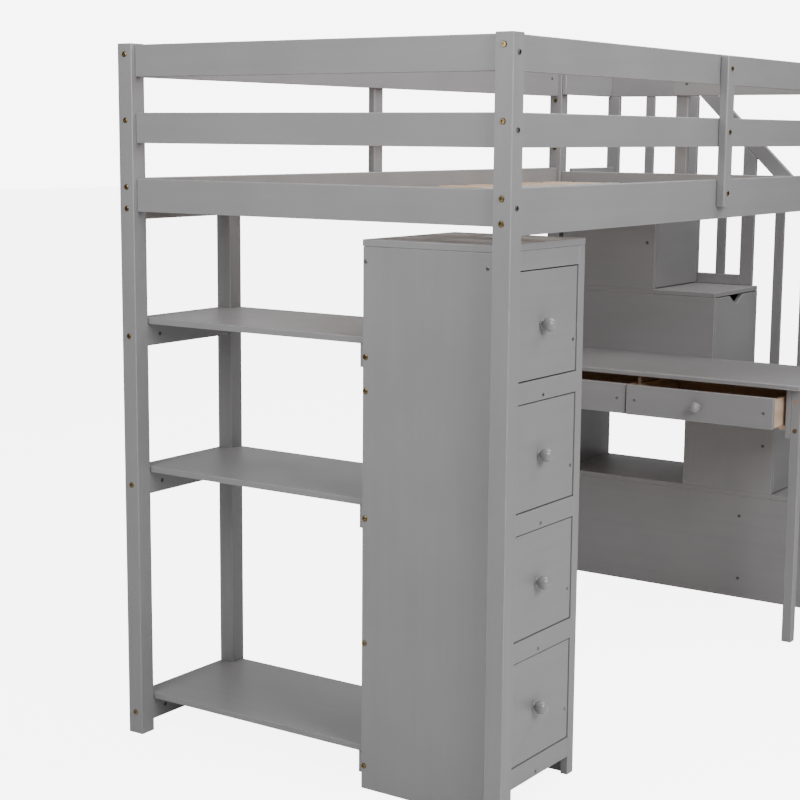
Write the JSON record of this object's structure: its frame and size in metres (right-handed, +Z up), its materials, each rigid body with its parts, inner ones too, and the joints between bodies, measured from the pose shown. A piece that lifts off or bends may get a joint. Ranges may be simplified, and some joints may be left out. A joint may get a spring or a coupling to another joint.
{
  "type": "loft bed with desk",
  "caption": "Grey painted twin loft bed over a desk, open shelves and a chest of drawers, with a storage staircase at one end.",
  "frame": {"origin": "on the floor, under the middle of the whole object's box", "axes": "+X along the bed from the chest of drawers to the staircase, +Y from the near side to the rear, +Z up"},
  "size_m": [2.37, 1.08, 1.654],
  "materials": {
    "grey_paint": "satin grey paint over wood",
    "drawer_wood": "satin grey painted front on a box of bare pine",
    "knob_paint": "semi-gloss grey paint over turned wood",
    "natural_pine": "sanded bare pine"
  },
  "bodies": {
    "bed": {"chest_back": "grey_paint", "chest_face_frame": "grey_paint", "chest_side_left": "grey_paint", "chest_side_right": "grey_paint", "chest_top": "grey_paint", "desk_drawer_frame": "grey_paint", "desk_leg_near": "grey_paint", "desk_leg_rear": "grey_paint", "desk_top": "grey_paint", "end_rail_low_left": "grey_paint", "end_rail_low_right": "grey_paint", "end_rail_middle_left": "grey_paint", "end_rail_middle_right": "grey_paint", "end_rail_top_left": "grey_paint", "end_rail_top_right": "grey_paint", "entrance_jamb": "grey_paint", "guard_rail_middle_near": "grey_paint", "guard_rail_middle_rear": "grey_paint", "guard_rail_top_near": "grey_paint", "guard_rail_top_rear": "grey_paint", "guard_support_near": "grey_paint", "guard_support_rear": "grey_paint", "post_near_left": "grey_paint", "post_near_right": "grey_paint", "post_rear_left": "grey_paint", "post_rear_right": "grey_paint", "post_shelf_rear": "grey_paint", "shelf_batten_high": "grey_paint", "shelf_batten_low": "grey_paint", "shelf_batten_middle": "grey_paint", "shelf_high": "grey_paint", "shelf_low": "grey_paint", "shelf_middle": "grey_paint", "side_rail_near": "grey_paint", "side_rail_rear": "grey_paint", "slat_deck": "natural_pine", "stair_back": "grey_paint", "stair_landing": "grey_paint", "stair_railing": "grey_paint", "stair_side_left": "grey_paint", "stair_side_right": "grey_paint", "stair_tread_1": "grey_paint", "stair_tread_2": "grey_paint", "stair_tread_3": "grey_paint"},
    "chest_drawer_1": {"chest_drawer_1": "drawer_wood", "chest_knob_1": "knob_paint"},
    "chest_drawer_2": {"chest_drawer_2": "drawer_wood", "chest_knob_2": "knob_paint"},
    "chest_drawer_3": {"chest_drawer_3": "drawer_wood", "chest_knob_3": "knob_paint"},
    "chest_drawer_4": {"chest_drawer_4": "drawer_wood", "chest_knob_4": "knob_paint"},
    "desk_drawer_near": {"desk_drawer_near": "drawer_wood", "desk_knob_near": "knob_paint"},
    "desk_drawer_far": {"desk_drawer_far": "drawer_wood", "desk_knob_far": "knob_paint"},
    "stair_drawer_1": {"stair_drawer_1": "drawer_wood"},
    "stair_drawer_2": {"stair_drawer_2": "drawer_wood"},
    "stair_drawer_3": {"stair_drawer_3": "drawer_wood"},
    "stair_drawer_4": {"stair_drawer_4": "drawer_wood"}
  },
  "joints": [
    {"name": "chest_drawer_1_slide", "type": "slide", "parent": "bed", "child": "chest_drawer_1", "axis": [0, -1, 0], "range_m": [0, 0.25]},
    {"name": "chest_drawer_2_slide", "type": "slide", "parent": "bed", "child": "chest_drawer_2", "axis": [0, -1, 0], "range_m": [0, 0.25]},
    {"name": "chest_drawer_3_slide", "type": "slide", "parent": "bed", "child": "chest_drawer_3", "axis": [0, -1, 0], "range_m": [0, 0.25]},
    {"name": "chest_drawer_4_slide", "type": "slide", "parent": "bed", "child": "chest_drawer_4", "axis": [0, -1, 0], "range_m": [0, 0.25]},
    {"name": "desk_drawer_near_slide", "type": "slide", "parent": "bed", "child": "desk_drawer_near", "axis": [-1, 0, 0], "range_m": [-0.077, 0.19]},
    {"name": "desk_drawer_far_slide", "type": "slide", "parent": "bed", "child": "desk_drawer_far", "axis": [-1, 0, 0], "range_m": [-0.07, 0.19]},
    {"name": "stair_drawer_1_slide", "type": "slide", "parent": "bed", "child": "stair_drawer_1", "axis": [0, -1, 0], "range_m": [0, 0.36]},
    {"name": "stair_drawer_2_slide", "type": "slide", "parent": "bed", "child": "stair_drawer_2", "axis": [0, -1, 0], "range_m": [0, 0.18]},
    {"name": "stair_drawer_3_slide", "type": "slide", "parent": "bed", "child": "stair_drawer_3", "axis": [0, -1, 0], "range_m": [0, 0.32]},
    {"name": "stair_drawer_4_slide", "type": "slide", "parent": "bed", "child": "stair_drawer_4", "axis": [0, -1, 0], "range_m": [0, 0.22]}
  ]
}
